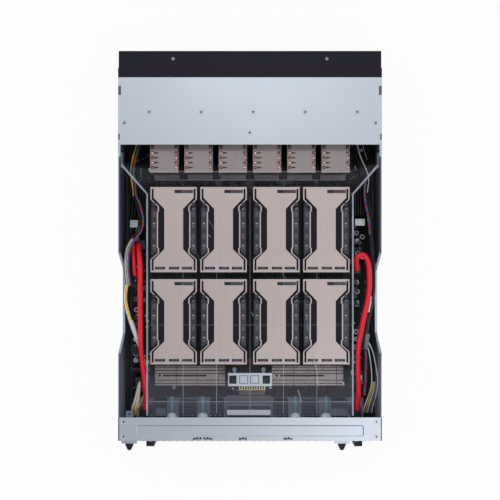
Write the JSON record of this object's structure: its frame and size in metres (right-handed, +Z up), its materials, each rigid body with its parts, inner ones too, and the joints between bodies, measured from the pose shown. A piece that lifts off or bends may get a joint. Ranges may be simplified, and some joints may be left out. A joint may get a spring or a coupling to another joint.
{
  "type": "4u gpu server",
  "caption": "Rack chassis with a slide-out sled of accelerator modules under a clear air duct, front fans and rear power supplies.",
  "frame": {"origin": "middle of the footprint, on the surface that the base stands on; the footprint runs from the front frame to the tips of the rear ejector levers", "axes": "+X to the right seen from the rear, +Y to the front with the fans, -Y to the rear with the sled handles and power supplies, +Z up"},
  "size_m": [0.44, 0.669, 0.175],
  "materials": {
    "zinc_steel": "satin zinc-coated sheet",
    "liner": "matte insulating film",
    "black_steel": "satin black powder coat",
    "black_plastic": "moulded, fine matte",
    "screw_steel": "plated",
    "circuit_board": "solder mask",
    "fin_aluminium": "extruded",
    "port_shell": "stamped",
    "button_plastic": "smooth",
    "black_heatsink": "black anodised",
    "champagne_aluminium": "brushed, champagne anodised",
    "bronze_heatsink": "bronze anodised",
    "copper": "bare copper, brass in this list",
    "clear_plastic": "clear polycarbonate sheet",
    "socket_metal": "cast and plated",
    "board_fittings": "moulded and plated fittings",
    "red_sleeve": "smooth red jacket",
    "loom_wires": "coloured wires",
    "loom_sleeve": "black sleeve"
  },
  "bodies": {
    "chassis": {"chassis_tub": "zinc_steel", "side_liners": "liner", "front_frame": "black_steel", "front_grille": "black_steel", "top_cover": "zinc_steel", "rear_bridge": "zinc_steel", "mid_deck": "zinc_steel", "fan_cage": "zinc_steel", "fan_housings": "black_plastic", "chassis_screws": "screw_steel", "mainboard": "circuit_board", "cpu_heatsinks": "fin_aluminium", "memory_modules": "circuit_board", "rear_io_panel": "zinc_steel", "io_ports": "port_shell", "power_board": "circuit_board"},
    "gpu_sled": {"gpu_tray": "zinc_steel", "baseboard": "circuit_board", "gpu_heatsinks": "black_heatsink", "gpu_cover_1": "champagne_aluminium", "gpu_cover_2": "champagne_aluminium", "gpu_cover_3": "champagne_aluminium", "gpu_cover_4": "champagne_aluminium", "gpu_cover_5": "champagne_aluminium", "gpu_cover_6": "champagne_aluminium", "gpu_cover_7": "champagne_aluminium", "gpu_cover_8": "champagne_aluminium", "switch_heatsinks": "bronze_heatsink", "switch_heat_pipes": "copper", "air_duct": "clear_plastic", "duct_walls": "clear_plastic", "sled_rear_panel": "zinc_steel", "lever_brackets": "zinc_steel", "pull_handles": "black_plastic", "pcie_heatsinks": "bronze_heatsink", "cable_bridge": "zinc_steel", "side_connectors": "socket_metal", "board_parts": "board_fittings", "sled_screws": "screw_steel", "power_cable_left": "red_sleeve", "power_cable_right": "red_sleeve", "loom_left": "loom_wires", "loom_right": "loom_sleeve"},
    "fan_rotor_1": {"fan_rotor_1": "black_plastic"},
    "fan_rotor_2": {"fan_rotor_2": "black_plastic"},
    "fan_rotor_3": {"fan_rotor_3": "black_plastic"},
    "fan_rotor_4": {"fan_rotor_4": "black_plastic"},
    "fan_rotor_5": {"fan_rotor_5": "black_plastic"},
    "fan_rotor_6": {"fan_rotor_6": "black_plastic"},
    "fan_rotor_7": {"fan_rotor_7": "black_plastic"},
    "fan_rotor_8": {"fan_rotor_8": "black_plastic"},
    "fan_rotor_9": {"fan_rotor_9": "black_plastic"},
    "fan_rotor_10": {"fan_rotor_10": "black_plastic"},
    "power_supply_1": {"power_supply_1": "zinc_steel"},
    "power_supply_2": {"power_supply_2": "zinc_steel"},
    "power_supply_3": {"power_supply_3": "zinc_steel"},
    "power_supply_4": {"power_supply_4": "zinc_steel"},
    "power_button": {"power_button": "button_plastic"},
    "lever_left": {"ejector_lever_left": "black_plastic"},
    "lever_right": {"ejector_lever_right": "black_plastic"}
  },
  "joints": [
    {"name": "fan_spin_1", "type": "hinge", "parent": "chassis", "child": "fan_rotor_1", "pos_m": [-0.1736, 0.2545, 0.0467], "axis": [0, 1, 0], "continuous": true},
    {"name": "fan_spin_2", "type": "hinge", "parent": "chassis", "child": "fan_rotor_2", "pos_m": [-0.0868, 0.2545, 0.0467], "axis": [0, 1, 0], "continuous": true},
    {"name": "fan_spin_3", "type": "hinge", "parent": "chassis", "child": "fan_rotor_3", "pos_m": [0, 0.2545, 0.0467], "axis": [0, 1, 0], "continuous": true},
    {"name": "fan_spin_4", "type": "hinge", "parent": "chassis", "child": "fan_rotor_4", "pos_m": [0.0868, 0.2545, 0.0467], "axis": [0, 1, 0], "continuous": true},
    {"name": "fan_spin_5", "type": "hinge", "parent": "chassis", "child": "fan_rotor_5", "pos_m": [0.1736, 0.2545, 0.0467], "axis": [0, 1, 0], "continuous": true},
    {"name": "fan_spin_6", "type": "hinge", "parent": "chassis", "child": "fan_rotor_6", "pos_m": [-0.1736, 0.2545, 0.128], "axis": [0, 1, 0], "continuous": true},
    {"name": "fan_spin_7", "type": "hinge", "parent": "chassis", "child": "fan_rotor_7", "pos_m": [-0.0868, 0.2545, 0.128], "axis": [0, 1, 0], "continuous": true},
    {"name": "fan_spin_8", "type": "hinge", "parent": "chassis", "child": "fan_rotor_8", "pos_m": [0, 0.2545, 0.128], "axis": [0, 1, 0], "continuous": true},
    {"name": "fan_spin_9", "type": "hinge", "parent": "chassis", "child": "fan_rotor_9", "pos_m": [0.0868, 0.2545, 0.128], "axis": [0, 1, 0], "continuous": true},
    {"name": "fan_spin_10", "type": "hinge", "parent": "chassis", "child": "fan_rotor_10", "pos_m": [0.1736, 0.2545, 0.128], "axis": [0, 1, 0], "continuous": true},
    {"name": "power_supply_slide_1", "type": "slide", "parent": "chassis", "child": "power_supply_1", "axis": [0, -1, 0], "range_m": [0, 0.18]},
    {"name": "power_supply_slide_2", "type": "slide", "parent": "chassis", "child": "power_supply_2", "axis": [0, -1, 0], "range_m": [0, 0.18]},
    {"name": "power_supply_slide_3", "type": "slide", "parent": "chassis", "child": "power_supply_3", "axis": [0, -1, 0], "range_m": [0, 0.18]},
    {"name": "power_supply_slide_4", "type": "slide", "parent": "chassis", "child": "power_supply_4", "axis": [0, -1, 0], "range_m": [0, 0.18]},
    {"name": "button_press", "type": "slide", "parent": "chassis", "child": "power_button", "axis": [0, 1, 0], "range_m": [0, 0.0012], "stiffness_N_per_m": 800},
    {"name": "sled_slide", "type": "slide", "parent": "chassis", "child": "gpu_sled", "axis": [0, -1, 0], "range_m": [0, 0.45]},
    {"name": "lever_turn_left", "type": "hinge", "parent": "gpu_sled", "child": "lever_left", "pos_m": [-0.203, -0.3205, 0.096], "axis": [1, 0, 0], "range_deg": [0, 70]},
    {"name": "lever_turn_right", "type": "hinge", "parent": "gpu_sled", "child": "lever_right", "pos_m": [0.1545, -0.3205, 0.096], "axis": [1, 0, 0], "range_deg": [0, 70]}
  ]
}
